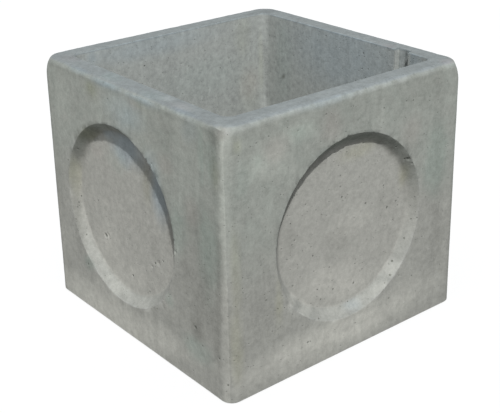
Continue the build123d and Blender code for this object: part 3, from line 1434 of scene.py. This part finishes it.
    def recess_shares(self, at: Vector, frames: list[Matrix]) -> tuple[float, float]:
        """Says how deep a point lies in a recess, and how far dirt and painted shade darken the recess
        there.

        Args:
            at: the point.
            frames: what turns it into each recess's own frame.

        Returns:
            1 on the floor, falling to 0 halfway up the wall, and the share of the dark tint, dirt and
            painted shade on the upper part of the wall, where the recess's shadow falls.
        """
        for frame in frames:
            local = frame @ at
            ring = math.hypot(local.x, local.y)
            if ring < self.recess_radius + 2 * MM and -0.025 < local.z < 0.0:
                depth = min(1.0, -local.z / self.recess_depth)
                # the upper wall, where the recess's shadow falls, takes dirt and painted shade
                upper = clamped((local.y / ring + 0.25) / 0.7)
                on_wall = clamped((ring - self.recess_radius + 24 * MM) / (9 * MM))
                patchy = 0.8 + 0.5 * noise.noise(at * 60.0)
                return max(0.0, (depth - 0.5) * 2.0), self.grime_and_shade * upper * on_wall * patchy
        return 0.0, 0.0

    def is_inside(self, at: Vector) -> bool:
        """Says whether a point is on the inner walls or the floor between them."""
        out = max(abs(at.x), abs(at.y))
        within = out < self.lean_in(at.z) + 16 * MM
        return within and self.floor_thickness - 3 * MM < at.z < self.height - 0.8 * MM

    def shape_shares(self) -> None:
        """Writes where the surface faces up, is in a recess or inside, is an edge or is the rim's top."""
        bm = self.bm
        form, edge = (bm.verts.layers.float_vector[name] for name in ("form", "edge"))
        wash, weather = (bm.verts.layers.float_vector[name] for name in ("wash", "weather"))
        frames = self.recess_frames()
        for v in bm.verts:
            at = v.co
            on_left = at.x < -abs(at.y)
            inside = self.is_inside(at)
            bed, grime_and_shade = self.recess_shares(at, frames)
            # the pale edge: wear, with a painted highlight along the rim's outer edge
            rim_wear_and_highlight = self.rim_share(at) * (self.left_wear_and_highlight if on_left else 1.0)
            wear_and_highlight = max(rim_wear_and_highlight, self.lip_worn * self.lip_share(at, frames))
            rim_top = clamped((at.z - self.height + 3.2 * MM) / (2.4 * MM))
            below_rim = clamped((self.height - 2 * MM - at.z) / (14 * MM))
            v[form] = (max(0.0, v.normal.z), bed, float(inside))
            v[edge] = (wear_and_highlight, v[edge].y, rim_top)
            # the left side is painted paler below the rim: a painted fill light
            v[wash].x = self.left_painted_fill * below_rim if on_left and not inside else 0.0
            # dirt and painted shade on the recesses' upper walls
            v[weather].z = grime_and_shade

    def paint(self, patches: list[Patch]) -> None:
        """Writes the stains into the attributes.

        Args:
            patches: the stains.
        """
        bm = self.bm
        tree = kdtree.KDTree(len(bm.verts))
        for v in bm.verts:
            tree.insert(v.co, v.index)
        tree.balance()
        verts = list(bm.verts)
        for patch in patches:
            name, part = patch.tint.value
            layer = bm.verts.layers.float_vector[name]
            for _, k, _ in tree.find_range(patch.spot, max(patch.across, patch.tall) * STAIN_REACH):
                v = verts[k]
                facing = clamped((v.normal.dot(patch.normal) - FACING_NONE) / FACING_SPAN)
                share = patch.share(v.co) * facing
                if share > 0.0:
                    v[layer][part] = 1.0 - (1.0 - v[layer][part]) * (1.0 - share)
        log.info("stains: %d", len(patches))

    def patches(self, camera: PhotoCamera, chance: random.Random) -> list[Patch]:
        """Finds the stains on the casting, and scatters others where the photograph doesn't show it.

        Args:
            camera: the photograph's camera.
            chance: where the random numbers come from.

        Returns:
            The stains.
        """
        tree = self.surface()
        found = []
        for stain in LEFT_STAINS + RIGHT_STAINS + RIM_STAINS + INNER_STAINS:
            spot, normal, _, _ = tree.ray_cast(*camera.ray(stain.u, stain.v))
            if spot is None:
                log.warning("no surface at pixel %.0f, %.0f", stain.u, stain.v)
                continue
            across, tall = stain.across_mm * MM, stain.tall_mm * MM
            found.append(Patch(spot, normal, across, tall, stain.tint, stain.strength))
        hidden = self.scattered(chance, 15, (Side.BACK, Side.RIGHT), False)
        hidden += self.scattered(chance, 8, (Side.FRONT, Side.LEFT), True)
        for spot, normal in hidden:
            tint = chance.choice(list(Tint))
            strong = (0.1, 0.26) if tint in (Tint.DARK, Tint.PALE) else (0.4, 0.9)
            strength = chance.uniform(*strong)
            across = chance.uniform(0.012, 0.045)
            found.append(Patch(spot, normal, across, across * chance.uniform(0.7, 2.6), tint, strength))
        for side in (Side.BACK, Side.RIGHT):
            foot = side.outwards() * self.lean_out(self.foot_height)
            foot.z = self.foot_height
            across, tall, strength = self.foot_bloom
            found.append(Patch(foot, side.outwards(), across, tall, Tint.PALE, strength))
        return found

    def build(self, solid: bpy.types.Object, camera: PhotoCamera) -> bpy.types.Object:
        """Builds the body.

        Args:
            solid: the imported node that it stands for.
            camera: the photograph's camera, which finds the marks.

        Returns:
            The finished body.
        """
        chance = random.Random(self.seed)
        self.block()
        self.hollow()
        self.grid()
        for side in Side:
            self.recess(side)
        bmesh.ops.recalc_face_normals(self.bm, faces=self.bm.faces)
        self.seam()
        self.settle(solid)
        self.ease_corners()
        self.layers()
        self.relief()
        marks = LEFT_MARKS + RIGHT_MARKS + INNER_MARKS + EDGE_CHIPS
        self.pit(self.find(marks, camera) + self.pores(chance))
        self.bm.normal_update()
        self.bm.verts.index_update()
        self.shape_shares()
        self.paint(self.patches(camera, chance))
        mesh = bpy.data.meshes.new("cast_body")
        self.bm.to_mesh(mesh)
        self.bm.free()
        mesh.shade_smooth()
        mesh.set_sharp_from_angle(angle=math.radians(self.sharp_angle))
        body = bpy.data.objects.new("cast_body", mesh)
        bpy.context.scene.collection.objects.link(body)
        mesh.materials.append(ConcreteFinish().material(self.height))
        return body


@dataclass(frozen=True)
class Daylight:
    """A soft sun and an even sky.

    Args:
        sun_azimuth: where the sun stands, as a camera's azimuth.
        sun_elevation: its height above the horizon.
        sun_strength: its strength.
        sun_width: how wide it is, which softens the shadows.
        sky_strength: strength of the sky's light.
        sky: colour of the sky's light.
    """

    sun_azimuth: float = -30.5
    sun_elevation: float = 54.5
    sun_strength: float = 3.28
    sun_width: float = 2.0
    sky_strength: float = 0.55
    sky: tuple = (243, 247, 251)

    def place(self) -> None:
        """Makes the sun and the sky."""
        data = bpy.data.lights.new("sun", "SUN")
        data.energy = self.sun_strength
        data.angle = math.radians(self.sun_width)
        sun = bpy.data.objects.new("sun", data)
        turn, rise = math.radians(self.sun_azimuth), math.radians(self.sun_elevation)
        level = math.cos(rise)
        towards = Vector((math.sin(turn) * level, -math.cos(turn) * level, math.sin(rise)))
        sun.rotation_mode = "QUATERNION"
        sun.rotation_quaternion = towards.to_track_quat("Z", "Y")
        bpy.context.scene.collection.objects.link(sun)
        world = bpy.data.worlds.new("sky")
        bpy.context.scene.world = world
        world.use_nodes = True
        nodes, links = world.node_tree.nodes, world.node_tree.links
        nodes.clear()
        seen = nodes.new("ShaderNodeBackground")
        seen.inputs["Color"].default_value = (1.0, 1.0, 1.0, 1.0)
        lit = nodes.new("ShaderNodeBackground")
        lit.inputs["Color"].default_value = linear(self.sky)
        lit.inputs["Strength"].default_value = self.sky_strength
        path = nodes.new("ShaderNodeLightPath")
        mix = nodes.new("ShaderNodeMixShader")
        links.new(path.outputs["Is Camera Ray"], mix.inputs[0])
        links.new(lit.outputs[0], mix.inputs[1])
        links.new(seen.outputs[0], mix.inputs[2])
        links.new(mix.outputs[0], nodes.new("ShaderNodeOutputWorld").inputs["Surface"])


@dataclass(frozen=True)
class Ground:
    """The plain pale floor, which shows white to the camera and keeps the shadow.

    Args:
        width: width of the floor.
        bounce_tone: its colour in the light that it throws back at the object.
        seen_tone: its colour to the camera where it is lit.
        white_share: how much of its own white it shows there.
    """

    width: float = 14.0
    bounce_tone: tuple = (122, 122, 120)
    seen_tone: tuple = (230, 230, 230)
    white_share: float = 0.72

    def place(self) -> bpy.types.Object:
        """Makes the floor and returns it."""
        bm = bmesh.new()
        bmesh.ops.create_grid(bm, x_segments=8, y_segments=8, size=self.width / 2)
        mesh = bpy.data.meshes.new("floor")
        bm.to_mesh(mesh)
        bm.free()
        floor = bpy.data.objects.new("floor", mesh)
        bpy.context.scene.collection.objects.link(floor)
        tree = Tree("pale_floor")
        bounce = tree.node("ShaderNodeBsdfDiffuse", None, {"Color": linear(self.bounce_tone)})
        matt = tree.node("ShaderNodeBsdfDiffuse", None, {"Color": linear(self.seen_tone)})
        white = tree.node("ShaderNodeEmission", None, {"Color": (1.0, 1.0, 1.0, 1.0), "Strength": 1.0})
        shown = tree.node("ShaderNodeMixShader", None, {0: self.white_share, 1: matt, 2: white})
        seen = tree.node("ShaderNodeLightPath").outputs["Is Camera Ray"]
        mix = tree.node("ShaderNodeMixShader", None, {0: seen, 1: bounce, 2: shown})
        tree.node("ShaderNodeOutputMaterial", None, {"Surface": mix})
        mesh.materials.append(tree.material)
        return floor


def main() -> None:
    """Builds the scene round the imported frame."""
    logging.basicConfig(level=logging.INFO, format="%(name)s: %(message)s")
    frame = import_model()
    bpy.context.scene.view_settings.view_transform = "Standard"
    camera = PhotoCamera()
    camera.place()
    Daylight().place()
    Ground().place()
    body = CastBody().build(frame["nodes"]["chamber"], camera)
    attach(body, "root")
    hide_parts("chamber")
    body.data.calc_loop_triangles()
    triangles = len(body.data.loop_triangles)
    log.info("%s: %d faces, %d triangles", body.name, len(body.data.polygons), triangles)


if __name__ == "__main__":
    main()
